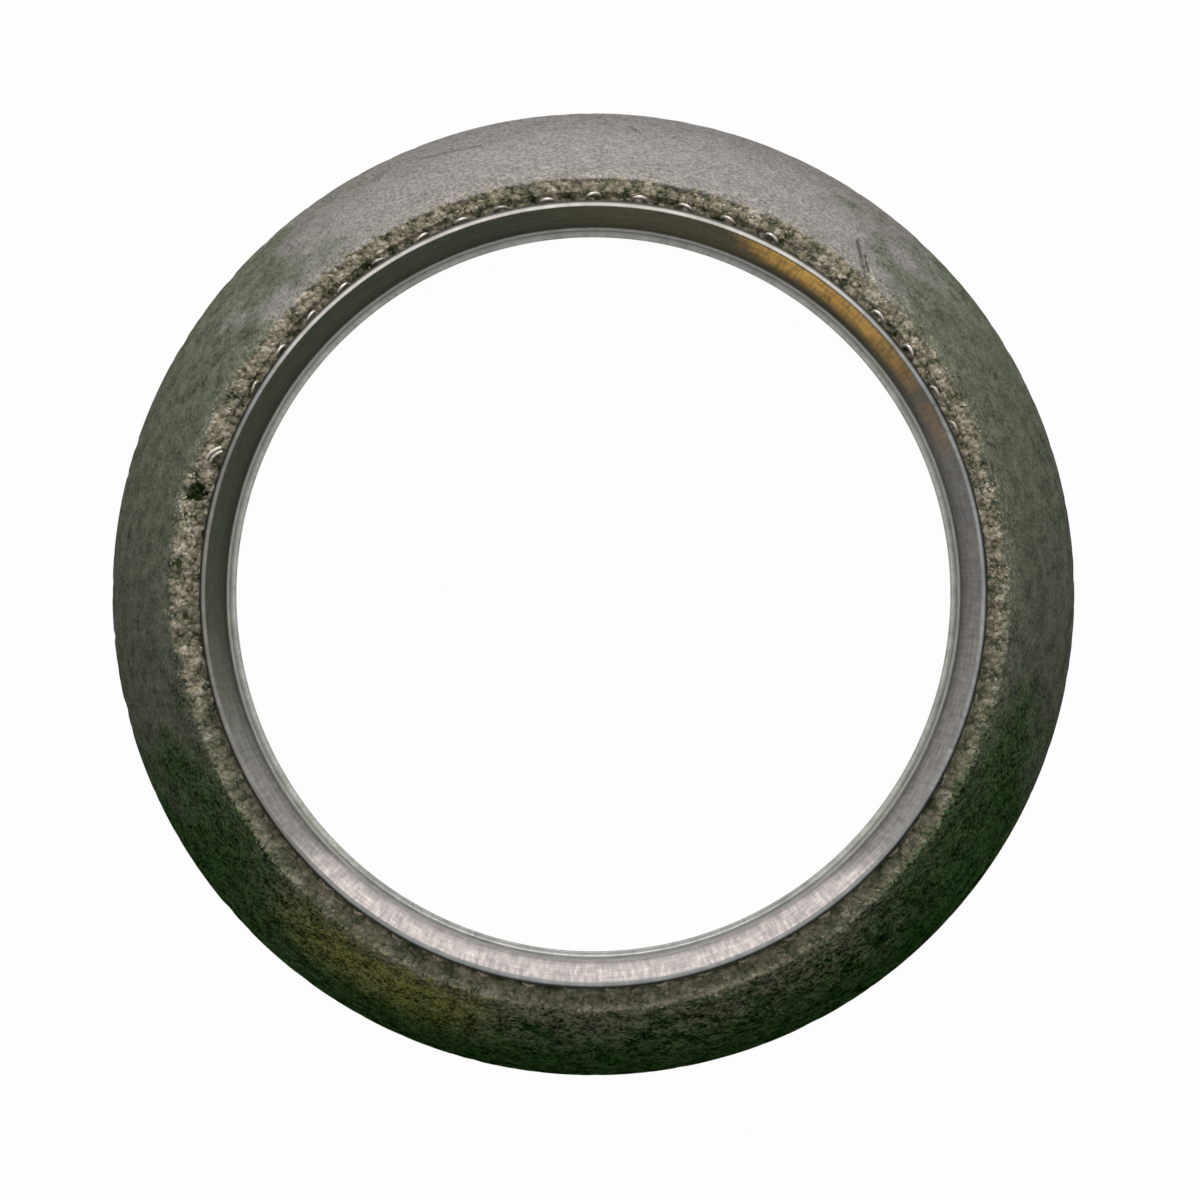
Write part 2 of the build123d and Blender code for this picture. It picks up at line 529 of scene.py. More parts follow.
@functools.cache
def crumb_colour():
    """Colour of the crumbs from their tone and painted recess shade, evened out by dust, with painted shade
    beside the sleeve and on the side away from the key lamp.
    """
    values = {"Position": ORIGIN, "Tone": 0.5, "Depth": 0.0, "Grain": 0.5}
    group = Group("crumb_colour", {**values, "Dust": GREY, "CrumbShade": GREY, "Oil": GREY}, {"Colour": "Color"})
    given = group.given
    shaded_side = group.sector(-85, 66, 88, 0.3)
    clouds = group.grain(1.1 * MM, 2.2)["Tone"] - 0.53
    tone = clouds * 0.75 + given["Tone"]
    colour = group.place(mica_colour, Tone=tone, Depth=given["Depth"], Grain=given["Grain"])["Colour"]
    colour = group.mix(given["Depth"] * -0.3 + 0.3, colour, given["Dust"])
    # Painted shade: crumbs darker close beside the sleeve, except on the side away from the key lamp.
    beside_sleeve = group.radius.rise(25.5 * MM, 26.4 * MM, 0.75, 1.0)
    colour = group.shaded(colour, beside_sleeve.most(shaded_side))
    # Painted shade over the crumbs on the side away from the key lamp, in patches of two shade colours: the
    # crumbs' own and the ball face's.
    film = group.mix(group.patches(1.3 * MM, 0.4, 0.12), given["CrumbShade"], given["Oil"])
    return group.finished(Colour=group.mix(shaded_side * 0.48, colour, film))


# Finishes


def crumbs(coat, finish, fine_tone):
    """Colour of the crumbs, from the tone and the painted recess shade that the mesh carries."""
    grain = {"Tone": coat.attribute("grain_tone"), "Depth": coat.attribute("recess_shade"), "Grain": fine_tone}
    colours = {"Dust": finish.crumb_dust, "CrumbShade": finish.crumb_painted_shade, "Oil": finish.painted_shade_graphite}
    return coat.place(crumb_colour, Position=coat.position, **grain, **colours)["Colour"]


def ball_zones(coat, finish, above_back):
    """Colour of the smooth ball face, side by side: painted light on the side towards the key lamp and
    painted shade on the far side, with masks of the part outside the painted light and of the shaded side.
    """
    # Painted light and shade: the ball face is painted light towards the key lamp, plain at the sides and
    # dark olive on the far side.
    side = coat.sector(92, 101, 122, 0.7)
    light = coat.sector(90, 32, 50, 0.75)
    shaded_side = 1.0 - side
    colour = coat.mix(side, finish.painted_shade_graphite, finish.side_graphite)
    # Painted deep shade on the side away from the key lamp, towards the outer edge and in blotches.
    outer = coat.radius.rise(28.6 * MM, 32.6 * MM)
    blots = coat.patches(2.6 * MM, 0.45, 0.09)
    deepest_shade_side = coat.sector(-82, 28, 50, 0.1) * 0.85 + 0.15
    colour = coat.mix(outer.most(blots) * deepest_shade_side * shaded_side, colour, finish.painted_deep_shade)
    scuffs = coat.patches(2.2 * MM, 0.62, 0.08) * coat.patches(0.55 * MM, 0.6, 0.1)
    near_rim = coat.radius.rise(31.4 * MM, 27.4 * MM, 0.15, 1.0) * above_back
    worn_side = coat.sector(-93, 38, 52, 0.1) * 0.75 + 0.25
    colour = coat.mix(scuffs * near_rim * worn_side * shaded_side, colour, finish.scuffed_graphite)
    # Painted olive sheen in patches on the ball face, on the side away from the key lamp.
    glow = coat.sector(-118, 4, 20, 0.05) * coat.radius.rise(31.4 * MM, 28.6 * MM)
    glow = glow * coat.patches(1.6 * MM, 0.8, 0.15) * above_back
    colour = coat.mix(glow * 0.8, colour, finish.painted_olive_sheen)
    colour = coat.mix(light, colour, finish.painted_lit_graphite)
    for start, end in (
        ((111.7, 31.3 * MM), (104.2, 30.75 * MM)),
        ((85.7, 31.4 * MM), (84.1, 30.8 * MM)),
        ((79.6, 30.95 * MM), (80.2, 30.75 * MM)),
    ):
        colour = coat.mix(coat.scratch(start, end, 0.16 * MM) * 0.7, colour, finish.side_graphite)
    for start, end, width in (
        ((53.3, 28.85 * MM), (49.4, 27.0 * MM), 0.24 * MM),
        ((51.3, 28.3 * MM), (49.6, 27.5 * MM), 0.2 * MM),
    ):
        colour = coat.mix(coat.scratch(start, end, width) * 0.85, colour, finish.crease_shade)
    rust = coat.sector(-22, 60, 78, 0.3) * coat.radius.rise(32.45 * MM, 32.7 * MM)
    rust = rust * coat.height.rise(1.9 * MM, 3.0 * MM) * coat.patches(2.0 * MM, 0.68, 0.18)
    colour = coat.mix(rust * 0.7, colour, finish.edge_stain)
    # Painted shade: on the lit side the ball face darkens towards its outer edge.
    painted_rim_shade = light * coat.radius.rise(29.0 * MM, 32.6 * MM, 0.0, 0.27)
    return coat.shaded(colour, 1.0 - painted_rim_shade), 1.0 - light, shaded_side


def knit_imprint(coat):
    """Height of the faint knit that shows on the flat back, as two crossing waves."""
    across = coat.radius * (math.tau / (1.4 * MM))
    waves = [coat.maths("SINE", coat.angle * loops + across) for loops in (110.0, -110.0)]
    return waves[0].most(waves[1]) * coat.height.rise(0.5 * MM, 0.0)


def graphite_material(finish):
    """Pressed graphite: painted light, light and neutral, on the side towards the key lamp, painted shade,
    olive and dark, on the other, and a crumbly rim.
    """
    coat = Coat("pressed_graphite")
    above_back = coat.height.rise(0.05 * MM, 0.8 * MM)
    colour, unlit, shaded_side = ball_zones(coat, finish, above_back)
    colour = coat.mix(above_back, finish.side_graphite, colour)
    grains = coat.grain(0.24 * MM, 2.8)
    clouds = coat.grain(1.1 * MM, 2.0)
    speckle = (grains["Tone"] - 0.5) * (shaded_side * (1.9 * finish.speckle) + finish.speckle)
    mottle = (clouds["Tone"] - 0.5) * ((unlit + shaded_side) * (2.0 * finish.mottle) + finish.mottle)
    imprint = knit_imprint(coat)
    colour = coat.shaded(colour, imprint * 0.22 + (speckle + mottle + 1.0).most(0.15))
    dust = coat.place(mica_colour, Tone=grains["Tone"], Depth=0.15, Grain=clouds["Tone"])["Colour"]
    # Painted shade over the dust on the side away from the key lamp.
    dust = coat.mix(shaded_side * 0.6, dust, finish.crumb_painted_shade)
    dusty = coat.patches(0.32 * MM, 0.5, 0.1) * coat.radius.rise(28.4 * MM, 26.8 * MM, 0.0, 0.8)
    dusty_side = coat.sector(-90, 35, 52, 0.2) * 0.65 + 0.35
    colour = coat.mix(dusty * (dusty_side * above_back), colour, dust)
    colour = coat.mix(coat.attribute("loose"), colour, crumbs(coat, finish, grains["Tone"]))
    coat.set("Base Color", colour)
    coat.set("Roughness", grains["Tone"] * 0.2 + (finish.graphite_roughness - 0.1))
    coat.set("Specular IOR Level", 0.0)
    coat.bump(imprint * 1.2 + grains["Height"], 0.06 * MM, 0.7)
    return coat.material


def mica_material(finish):
    """Loose grains of mica and filler, each with its own tone."""
    coat = Coat("mica_grains")
    grains = coat.grain(0.14 * MM, 2.2)
    coat.set("Base Color", crumbs(coat, finish, grains["Tone"]))
    coat.set("Roughness", finish.mica_roughness)
    coat.set("Specular IOR Level", 0.3)
    coat.bump(grains["Height"], 0.03 * MM, 0.5)
    return coat.material


def sleeve_wall(coat, finish, painted_lit_side, streaks, lines, stains):
    """Colour of the sleeve's wall: painted shade, plain or painted light by its side, with a straw tint, draw
    lines, a darker band above the lip and painted shade towards its foot.
    """
    # Painted light and shade: the wall is painted dark on the side that the key lamp doesn't reach, plain at
    # the sides and bright where the lamp shines in.
    wall = coat.mix(coat.sector(-62, 80, 120, 0.2), finish.painted_shade_steel, finish.plain_steel)
    wall = coat.mix(painted_lit_side, wall, finish.painted_lit_steel)
    inside = coat.radius.rise(25.3 * MM, 25.1 * MM)
    wall = coat.mix(coat.sector(62, 18, 42, 0.1) * inside * 0.6, wall, finish.bronze_tint)
    straw = coat.sector(49, 11, 20, 0.06).most(coat.sector(26.5, 2, 6, 0.0) * 0.4)
    notch = coat.sector(31, 0.2, 1.3, 0.0) * -0.8 + 1.0
    straw_low = coat.height.rise(4.5 * MM, 11.0 * MM)
    straw_high = coat.height.rise(14.9 * MM, 14.4 * MM)
    straw = straw * (straw_low * straw_high) * notch * streaks.rise(-0.3, 0.8, 0.5, 1.1)
    straw = straw * lines.rise(0.1, 0.6, 0.7, 1.0) * inside
    straw_colour = coat.mix(coat.sector(62, 8, 26, 0.1), finish.dull_straw, finish.straw_tint)
    wall = coat.mix(straw, wall, straw_colour)
    # A darker band low on the wall, just above the lip.
    low_dark_band = coat.height.rise(2.5 * MM, 2.9 * MM) * coat.height.rise(4.6 * MM, 3.6 * MM)
    shade = (streaks - 0.5) * (painted_lit_side * 0.5 + 0.4) + 1.0
    shade = shade * (lines * 0.5 + 0.75) * (stains * 0.5 + 0.75) * (low_dark_band * -0.3 + 1.0)
    # Painted shade: the wall darkens towards its foot, deeper in the bore, and is lighter near its top.
    return coat.shaded(wall, shade * coat.height.rise(3 * MM, 9 * MM, 0.7, 1.1))


def sleeve_edge(coat, finish, streaks):
    """Colour of the sleeve's cut edge: a painted highlight on the side towards the key lamp, and painted
    shade on one side and along its outer bevel.
    """
    edge = coat.mix(coat.sector(95, 28, 66, 0.3), finish.plain_edge, finish.painted_edge_highlight)
    edge = coat.mix(coat.sector(190, 25, 50, 0.3), edge, finish.painted_edge_shade)
    # Painted shade along the outer bevel.
    edge = coat.shaded(edge, coat.radius.rise(SLEEVE_OUTER - 0.06 * MM, SLEEVE_OUTER - 0.24 * MM, 0.1, 1.0))
    return coat.shaded(edge, streaks * 0.4 + 0.85)


def sleeve_material(finish):
    """Thin drawn sheet: fine streaks along the bore, draw lines around it, a straw tint on one side, and
    painted light and shade by side.
    """
    coat = Coat("sleeve_steel")
    around = coat.angle * BORE_RADIUS
    streak_place = coat.signal(0, "CombineXYZ", {"X": around, "Y": coat.height * 0.04})
    line_place = coat.signal(0, "CombineXYZ", {"X": around * 0.02, "Y": coat.height})
    streaks = coat.grain(0.3 * MM, 2.6, streak_place)
    lines = coat.grain(0.5 * MM, 1.8, line_place)
    stains = coat.grain(1.2 * MM, 2.0)["Tone"]
    # Mask of the painted light where the key lamp shines into the bore, wider near the top of the wall; the
    # wall is also more metallic and less rough there.
    painted_lit_side = coat.sector(-91, 33, 57.5, 0.15) * 1.9 + coat.height * (0.9 / SLEEVE_TOP)
    painted_lit_side = painted_lit_side.rise(1.1, 2.2)
    wall = sleeve_wall(coat, finish, painted_lit_side, streaks["Tone"], lines["Tone"], stains)

    is_lip = coat.height.rise(3.3 * MM, 1.5 * MM)
    # The edge's colour covers the outer part of the top, and all of it where the wall has painted light.
    outer_side = coat.radius.rise(BORE_RADIUS - 0.02 * MM, BORE_RADIUS + 0.06 * MM)
    is_edge = coat.height.rise(14.88 * MM, 14.94 * MM) * outer_side.most(painted_lit_side)
    # Painted shade on the lip: darker on the side that the key lamp lights through the bore, and a little
    # darker on the side towards the lamp.
    lip = coat.mix(painted_lit_side * 0.85, finish.lip_steel, finish.lip_on_lit_side)
    lip = coat.mix(coat.sector(92, 20, 60, 0.2) * 0.4, lip, finish.plain_edge)
    ends = coat.mix(is_edge, lip, sleeve_edge(coat, finish, streaks["Tone"]))
    ends = coat.shaded(ends, stains * 0.5 + 0.75)
    coat.set("Base Color", coat.mix(is_lip.most(is_edge), wall, ends))

    bright = is_lip.most(is_edge).most(painted_lit_side)
    coat.set("Metallic", bright * 0.65 + 0.15)
    roughness = streaks["Tone"] * 0.2 + (finish.steel_roughness - 0.1)
    coat.set("Roughness", bright * -0.15 + roughness)
    coat.set("Specular IOR Level", 0.0)
    coat.bump(streaks["Height"] + lines["Height"], 0.01 * MM, 0.5)
    return coat.material


def wire_material(finish):
    """Drawn round wire, darker where graphite covers it in patches, and crumb-coloured where crumbs cover it.
    """
    coat = Coat("knit_wire")
    grains = coat.grain(0.15 * MM, 1.2)
    grime = coat.patches(0.6 * MM, 0.4, 0.12)
    colour = coat.mix(grime, finish.bright_wire, finish.dull_wire)
    cover = coat.place(mica_colour, Tone=grains["Tone"], Depth=0.3, Grain=grime)["Colour"]
    bare = coat.attribute("bare")
    coat.set("Base Color", coat.mix(bare, cover, colour))
    coat.set("Roughness", grains["Tone"] * 0.3 + 0.25)
    coat.set("Metallic", bare * 0.6)
    coat.bump(grains["Height"], 0.01 * MM, 0.4)
    return coat.material


def seen_directly(nodes):
    """1 for rays from the camera, from gloss and through glass, which show the white backdrop."""
    rays = nodes.node("LightPath").outputs
    names = ("Is Camera Ray", "Is Glossy Ray", "Is Transmission Ray")
    camera, glossy, through = (Signal(nodes, rays[name]) for name in names)
    return camera.most(glossy).most(through)


def floor_material(stage):
    """Pale floor that shows white, and keeps a trace of the object's shadow."""
    coat = Coat("pale_floor")
    coat.set("Base Color", stage.floor_colour)
    coat.set("Roughness", 0.9)
    coat.set("Specular IOR Level", 0.0)
    glow = coat.signal(0, "Emission", {"Color": (1, 1, 1, 1), "Strength": 1.0})
    share = seen_directly(coat) * stage.backdrop_share
    mixed = coat.signal(0, "MixShader", {0: share, 1: Signal(coat, coat.shader.outputs[0]), 2: glow})
    output = next(n for n in coat.tree.nodes if n.type == "OUTPUT_MATERIAL")
    coat.feed(output.inputs["Surface"], mixed)
    return coat.material


# Sizes and colours that a user would change


def number(name, default, description, kind=bpy.props.FloatProperty, **limits):
    """A property that holds a number."""
    return kind(name=name, default=default, description=description, **limits)


def colour(name, default, description):
    """A property that holds a colour."""
    opaque = {"default": (*default, 1.0), "size": 4, "subtype": "COLOR"}
    return bpy.props.FloatVectorProperty(name=name, description=description, min=0.0, max=1.0, **opaque)


count = functools.partial(number, kind=bpy.props.IntProperty)
length = functools.partial(number, unit="LENGTH", precision=6)
share = functools.partial(number, min=0.0, max=1.0, subtype="FACTOR")


class GasketSizes(bpy.types.PropertyGroup):
    """Sizes of the detail that the pieces get."""

    steps: count("Steps round the ring", 960, "Faces round the ring and the sleeve", min=64)
    wire: length("Wire", 0.24 * MM, "Diameter of the knitted wire")
    loop_width: length("Loop width", 1.1 * MM, "Width of a wire loop, outside to outside")
    loop_leg: length("Loop leg", 0.2 * MM, "Straight leg of a wire loop below its head")
    cut_bend: length("Cut end bend", 1.3 * MM, "Bend radius of the longer cut wire end")
    cut_sweep: number("Cut end sweep", 62.0, "Angle in degrees that a cut end bends through", min=5.0)
    grain_count: count("Grains", 3600, "Loose grains along the rim", min=0)
    grain_size: length("Grain size", 0.27 * MM, "Middle size of a loose grain, across")


class GasketFinish(bpy.types.PropertyGroup):
    """Colours and roughness of the finishes, with the colours that paint light and shade."""

    # Painted light on the ball face, on the side towards the key lamp
    painted_lit_graphite: colour("Painted lit graphite", (0.235, 0.22, 0.208), "Ball face on its light side")
    side_graphite: colour("Side graphite", (0.112, 0.123, 0.087), "Ball face between its two sides")
    # Painted shade on the ball face, on the side away from the key lamp
    painted_shade_graphite: colour("Painted shade graphite", (0.034, 0.074, 0.021), "Ball face on its dark side")
    # Painted deep shade on the ball face, towards the outer edge on the side away from the key lamp
    painted_deep_shade: colour("Painted deep shade", (0.012, 0.045, 0.006), "Darkest oil, along the outer edge")
    crease_shade: colour("Crease shade", (0.06, 0.06, 0.05), "Dark folds of the crease in the ball face")
    crumb_dust: colour("Crumb dust", (0.175, 0.16, 0.11), "Dust that evens out the dry crumbs")
    # Painted shade over the crumbs, on the side away from the key lamp
    crumb_painted_shade: colour("Crumb painted shade", (0.125, 0.128, 0.085), "Oily film over the crumbs on the dark side")
    scuffed_graphite: colour("Scuffed graphite", (0.11, 0.12, 0.075), "Worn patches beside the rim")
    # Painted olive sheen on the ball face, on the side away from the key lamp
    painted_olive_sheen: colour("Painted olive sheen", (0.17, 0.17, 0.045), "Oil film that looks olive on one side")
    edge_stain: colour("Edge stain", (0.1, 0.05, 0.025), "Brown stain along the outer edge")
    speckle: share("Speckle", 0.72, "Strength of the fine grain")
    mottle: share("Mottle", 0.3, "Strength of the soft clouds")
    graphite_roughness: share("Graphite roughness", 0.65, "Roughness of the ball face")
    mica_roughness: share("Mica roughness", 0.6, "Roughness of the loose grains")
    # Painted light on the sleeve wall where the key lamp shines in
    painted_lit_steel: colour("Painted lit steel", (0.5, 0.44, 0.42), "Sleeve wall where it is bright")
    plain_steel: colour("Plain steel", (0.28, 0.27, 0.255), "Sleeve wall between bright and dull")
    # Painted shade on the sleeve wall on the side that the key lamp doesn't reach
    painted_shade_steel: colour("Painted shade steel", (0.08, 0.091, 0.058), "Sleeve wall where it is dull")
    straw_tint: colour("Straw tint", (1.0, 0.6, 0.16), "Heat tint inside the sleeve where it is strong")
    dull_straw: colour("Dull straw", (0.5, 0.31, 0.12), "Heat tint inside the sleeve where it fades")
    bronze_tint: colour("Bronze tint", (0.17, 0.14, 0.075), "Dark fringe of the heat tint")
    lip_steel: colour("Lip steel", (0.35, 0.35, 0.32), "Turned-in lip and the wall beside it")
    # Painted highlight on the sleeve's upper edge, on the side towards the key lamp
    painted_edge_highlight: colour("Painted edge highlight", (0.4, 0.38, 0.345), "Upper edge of the sleeve where it is bright")
    plain_edge: colour("Plain edge", (0.165, 0.168, 0.166), "Upper edge of the sleeve elsewhere")
    # Painted shade on the lip, on the side that the key lamp lights through the bore
    lip_on_lit_side: colour("Lip on lit side", (0.19, 0.19, 0.185), "Turned-in lip where the wall is bright")
    # Painted shade on the sleeve's upper edge, on one side
    painted_edge_shade: colour("Painted edge shade", (0.13, 0.126, 0.11), "Upper edge where it is dull")
    steel_roughness: share("Steel roughness", 0.6, "Roughness of the sleeve")
    bright_wire: colour("Bright wire", (0.52, 0.475, 0.43), "Wire where it is rubbed bright")
    dull_wire: colour("Dull wire", (0.24, 0.23, 0.19), "Wire under graphite")


class GasketStage(bpy.types.PropertyGroup):
    """Floor, lights and camera."""

    floor_colour: colour("Floor", (0.62, 0.62, 0.61), "Colour of the floor under the object's light")
    backdrop_share: share("Backdrop", 0.97, "Share of plain white that the camera sees in the floor")
    world_level: number("World", 0.22, "Strength of the even light from all round", min=0.0)
    key_power: number("Key", 1.3, "Power of the low soft light", min=0.0, unit="POWER")
    top_power: number("Top", 0.5, "Power of the soft light overhead", min=0.0, unit="POWER")
    camera_height: length("Camera height", 228.0 * MM, "Height of the camera above the floor")
    focal: number("Focal length", 99.2, "Lens of the camera, in millimetres", min=10.0)


# Pieces


def sleeve_profile():
    """Closed outline of the sleeve: straight wall, turned-in lip and a softened cut edge."""
    wall = SLEEVE_OUTER - BORE_RADIUS
    bend = 0.3 * MM
    bend_centre = (BORE_RADIUS - bend, bend + wall)
    lip_round = 0.08 * MM
    lip_centre = LIP_RADIUS + lip_round
    cut_round = 0.07 * MM
    points = arc((SLEEVE_OUTER - cut_round, SLEEVE_TOP - cut_round), cut_round, 0, 90, 3)
    points += arc((BORE_RADIUS + cut_round, SLEEVE_TOP - cut_round), cut_round, 90, 180, 3)
    points += steps_between((BORE_RADIUS, SLEEVE_TOP - 0.3 * MM), (BORE_RADIUS, bend + wall), 9)
    points += arc(bend_centre, bend, 0, -90, 6)
    points += arc((lip_centre, wall - lip_round), lip_round, 90, 180, 3)
    points += arc((lip_centre, lip_round), lip_round, 180, 270, 3)
    points += arc(bend_centre, bend + wall, -90, 0, 8)
    points += steps_between((SLEEVE_OUTER, 2 * MM), (SLEEVE_OUTER, SLEEVE_TOP - 0.3 * MM), 3)
    return points


def roughen_edge(vertex):
    """Gives the sleeve's cut edge its uneven bevel, two burrs that lean outwards and a row of small nicks."""
    turn = turn_of(vertex.co)
    outer = vertex.co.xy.length > (BORE_RADIUS + SLEEVE_OUTER) / 2
    burr = 0.0
    for burr_turn, half_width in ((57.0, 0.55), (171.0, 0.75)):
        burr = max(burr, 1.0 - abs(turn - burr_turn) / half_width)
    nick = smoothstep(0.25, 0.5, uneven(polar(turn, BORE_RADIUS), 0.35 * MM))
    nick *= window((turn + 90.0) % 360.0, 60.0, 120.0, 1.0)
    wear = 0.5 + 0.5 * uneven(polar(turn, BORE_RADIUS), 2.5 * MM)
    vertex.co.z -= (0.03 * wear + 0.1 * nick * (0.0 if outer else 1.0)) * MM
    if outer and burr > 0.0:
        vertex.co.xy *= 1.0 + 0.24 * MM * burr / SLEEVE_OUTER


class GASKET_OT_steel_sleeve(bpy.types.Operator):
    """Makes the thin steel sleeve with its lip, its cut edge and its burrs"""

    bl_idname = "gasket.steel_sleeve"
    bl_label = "Steel sleeve"

    def execute(self, context):
        bm = bmesh.new()
        spin_profile(bm, sleeve_profile(), context.scene.gasket_sizes.steps)
        for vertex in bm.verts:
            if vertex.co.z > SLEEVE_TOP - 0.1 * MM:
                roughen_edge(vertex)
        coat = sleeve_material(context.scene.gasket_finish)
        new_piece("sleeve_tube", bm, coat, "sleeve_steel", "steel_sleeve")
        return {"FINISHED"}


def ring_profile():
    """Closed outline of the pressed ring, with close rows of points where its rim is broken."""
    back_round = 0.6 * MM
    land_round = 0.25 * MM
    land_foot = back_round + 0.2 * MM
    step_inner, step_outer = GAP_OUTER - 0.06 * MM, GAP_OUTER + 0.06 * MM
    points = steps_between((RING_INNER, 0), (step_inner, 0), 5)
    points += steps_between((step_inner, 0), (step_outer, 0), 3)
    points += steps_between((step_outer, 0), (RELIEF_OUTER, 0), 23)
    points = [(radius, GAP_FLOOR if radius < GAP_OUTER else rim_base(0.0, radius)) for radius, _ in points]
    start = math.degrees(math.asin((ball_height(RELIEF_OUTER) - BALL_CENTRE) / BALL_RADIUS))
    end = math.degrees(math.asin((LAND_HEIGHT + land_round - BALL_CENTRE) / BALL_RADIUS))
    points += arc((0, BALL_CENTRE), BALL_RADIUS, start, end, 20)
    points += [(RING_OUTER, LAND_HEIGHT - land_round)]
    points += steps_between((RING_OUTER, LAND_HEIGHT - 1.2 * MM), (RING_OUTER, land_foot), 2)
    points += arc((RING_OUTER - back_round, back_round), back_round, 0, -90, 4)
    points += steps_between((RING_OUTER - 2 * back_round, 0), (RING_INNER, 0), 5)
    return points + [(RING_INNER, 0), (RING_INNER, 0.5 * RIM_HEIGHT)]


class GASKET_OT_pressed_ring(bpy.types.Operator):
    """Makes the pressed ring with its ball face, its crumbly rim and the break in it"""

    bl_idname = "gasket.pressed_ring"
    bl_label = "Pressed ring"

    def execute(self, context):
        bm = bmesh.new()
        spin_profile(bm, ring_profile(), context.scene.gasket_sizes.steps)
        relief_floor = GAP_FLOOR - 2 * MM

        def in_relief(vertex):
            return vertex.co.z > relief_floor and vertex.co.xy.length < RELIEF_OUTER + 0.01 * MM

        level = [
            edge
            for edge in bm.edges
            if in_relief(edge.verts[0])
            and in_relief(edge.verts[1])
            and abs(edge.verts[0].co.xy.length - edge.verts[1].co.xy.length) < 0.001 * MM
        ]
        bmesh.ops.subdivide_edges(bm, edges=level, cuts=1, use_grid_fill=True)
        layers = [bm.verts.layers.float.new(name) for name in ("loose", "recess_shade", "grain_tone")]
        for vertex in bm.verts:
            turn, radius = turn_of(vertex.co), vertex.co.xy.length
            if in_relief(vertex) and vertex.co.z > GAP_FLOOR - 0.9 * MM:
                vertex.co.z, *carried = rim_surface(turn, radius)
                for layer, value in zip(layers, carried):
                    vertex[layer] = value
            elif radius > RELIEF_OUTER:
                nick = smoothstep(-0.2, 0.7, uneven(vertex.co, 0.9 * MM))
                nick *= 0.04 + 0.05 * window(turn, 125.0, 215.0, 20.0)
                near_edge = smoothstep(RING_OUTER - 0.6 * MM, RING_OUTER, radius)
                vertex.co.xy *= 1.0 - (0.002 + nick * near_edge) * MM / RING_OUTER
        coat = graphite_material(context.scene.gasket_finish)
        new_piece("ring_body", bm, coat, "pressed_graphite", "pressed_ring")
        return {"FINISHED"}


def scattered_grain(draw, size):
    """Place, size, tone and painted recess shade of one loose grain; few lie in the open gap and none in the
    chip.
    """
    while True:
        turn = draw.uniform(0.0, 360.0)
        border = crumb_border(turn)
        radius = draw.uniform(SLEEVE_OUTER + 0.14 * MM, border + 0.3 * MM)
        across = size * draw.uniform(0.45, 1.15) * (1.5 if draw.random() < 0.1 else 1.0)
        if radius > border:
            across *= 0.6
        bare_gap = bare_share(turn) * 0.65 if radius < GAP_OUTER else 0.0
        open_gap = open_share(turn) if radius < OPEN_GAP_OUTER else 0.0
        in_chip = math.hypot((turn - CHIP_TURN) * 0.45 * MM, radius - CHIP_RADIUS) < 0.75 * MM
        if not in_chip and draw.random() > max(bare_gap, open_gap):
            break
    # The grain takes a quarter of the painted recess shade of the place where it lies.
    depth = rim_surface(turn, radius)[2]
    tone = draw.gauss(0.5, 0.09) + 0.5 * uneven(polar(turn, radius), 1.1 * MM)
    return turn, radius, across, min(1.0, max(0.0, tone)), 0.25 * depth


def torn_skin_grain(draw, along):
    """One pale flake of the torn skin that curves across the worn stretch, at a share of its length."""
    turn = 167.2 + 3.6 * along ** 0.8 + draw.uniform(-0.12, 0.12)
    radius = (27.5 - 0.9 * along - 0.35 * along**3) * MM + draw.uniform(-0.03, 0.03) * MM
    return turn, radius, draw.uniform(0.09, 0.17) * MM, draw.uniform(0.85, 1.0), 0.0


def crease_grain(draw, along):
    """One pale flake of the lifted skin beside the crease in the ball face, at a share of its length."""
    turn = 50.9 - 3.0 * along + draw.uniform(-0.12, 0.12)
    radius = (28.25 - 1.25 * along) * MM + draw.uniform(-0.04, 0.04) * MM
    size = draw.uniform(0.14, 0.28) * (0.6 + 0.9 * along) * MM
    return turn, radius, size, draw.uniform(0.6, 0.85), 0.0


def add_grain(bm, layers, draw, turn, radius, across, tone, depth):
    """One uneven, flattened grain that lies on the rim's broken surface."""
    height = rim_surface(turn % 360.0, radius)[0]
    height = min(height - 0.14 * across, SLEEVE_TOP - 0.7 * across)
    turned = draw.uniform(0, math.tau)
    axis = Vector((draw.random() - 0.5, draw.random() - 0.5, 1.0))
    spin = Matrix.Rotation(turned, 4, axis)
    stretch = [draw.uniform(*limits) for limits in ((0.8, 1.4), (0.7, 1.1), (0.3, 0.55))]
    made = bmesh.ops.create_icosphere(
        bm,
        subdivisions=2 if across > 0.45 * MM else 1,
        radius=0.5 * across,
        matrix=Matrix.Translation(polar(turn, radius, height)) @ spin @ Matrix.Diagonal((*stretch, 1.0)),
    )["verts"]
    for vertex in made:
        vertex.co += 0.2 * across * noise.noise_vector(vertex.co / (0.45 * across))
        # Each corner carries the grain's painted recess shade and its tone.
        for layer, value in zip(layers, (depth, tone)):
            vertex[layer] = value


# Grains added to one mesh before it is joined to the rest, because adding to a large mesh is slow
GRAIN_BATCH = 80


def mesh_of_grains():
    """An empty bmesh with the two layers that the grains carry."""
    bm = bmesh.new()
    return bm, [bm.verts.layers.float.new(name) for name in ("recess_shade", "grain_tone")]


